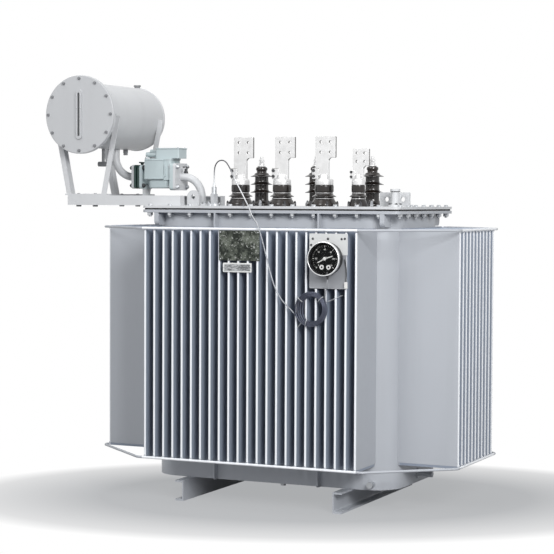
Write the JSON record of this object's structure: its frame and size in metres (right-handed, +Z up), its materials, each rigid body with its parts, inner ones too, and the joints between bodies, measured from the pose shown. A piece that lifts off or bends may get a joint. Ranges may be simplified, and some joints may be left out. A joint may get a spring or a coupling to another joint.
{
  "type": "power transformer",
  "caption": "Oil-filled distribution transformer with corrugated fin tank, end-mounted conservator, gas relay, porcelain bushings, dial thermometer and base channels.",
  "frame": {"origin": "on the floor, midway between the two base channels and midway along them, at the centre of the anchor bolt pattern", "axes": "+X to the right along the front, +Y to the back, +Z up"},
  "size_m": [2.2309, 1.256, 2.101],
  "materials": {
    "tank_paint": "semi-gloss blue-grey enamel",
    "drum_paint": "semi-gloss light grey enamel",
    "relay_paint": "semi-gloss pale green-grey enamel",
    "valve_paint": "dark green enamel",
    "porcelain": "very dark brown glaze",
    "terminal_metal": "bright tinned copper",
    "zinc": "zinc plated",
    "gasket": "matt oil-resistant rubber",
    "capillary_metal": "fine spiral armour",
    "dial_housing": "black housing with a bright ring",
    "gauge_glass": "dark clear gauge window in a frame",
    "plate_metal": "etched dark plate",
    "label_metal": "light plate"
  },
  "bodies": {
    "root": {"base_channel_left": "tank_paint", "base_channel_right": "tank_paint", "beam_cross_bar": "drum_paint", "breather_pipe": "drum_paint", "capillary_coil": "capillary_metal", "capillary_tube": "capillary_metal", "conservator_drain": "drum_paint", "conservator_filler": "drum_paint", "conservator_front_cover": "drum_paint", "conservator_legs": "drum_paint", "conservator_rear_end": "drum_paint", "conservator_shell": "drum_paint", "cover_gasket": "gasket", "cover_plate": "tank_paint", "dial_bracket": "drum_paint", "dial_thermometer": "dial_housing", "drain_plug": "zinc", "drain_valve": "tank_paint", "earth_terminal": "zinc", "fins_back": "tank_paint", "fins_front": "tank_paint", "fins_left": "tank_paint", "fins_right": "tank_paint", "foot_plates": "drum_paint", "hv_bushing_a": "porcelain", "hv_bushing_b": "porcelain", "hv_bushing_c": "porcelain", "hv_terminals": "terminal_metal", "label_plate": "label_metal", "lifting_hooks": "tank_paint", "lifting_lug_left": "tank_paint", "lifting_lug_right": "tank_paint", "lv_bushing_a": "porcelain", "lv_bushing_b": "porcelain", "lv_bushing_c": "porcelain", "lv_bushing_n": "porcelain", "lv_palms": "terminal_metal", "oil_gauge": "gauge_glass", "pipe_conservator": "drum_paint", "pipe_tank": "drum_paint", "rating_plate": "plate_metal", "relay_body": "relay_paint", "relay_support": "drum_paint", "relay_terminal_box": "relay_paint", "relief_stub": "tank_paint", "shutoff_valve": "valve_paint", "stiffener_bars": "tank_paint", "support_beam_front": "drum_paint", "support_beam_rear": "drum_paint", "tank_body": "tank_paint", "tank_flange": "tank_paint", "thermometer_pocket": "zinc", "tie_rods_corner": "tank_paint", "tie_rods_end": "tank_paint", "tie_rods_long": "tank_paint"}
  },
  "joints": []
}
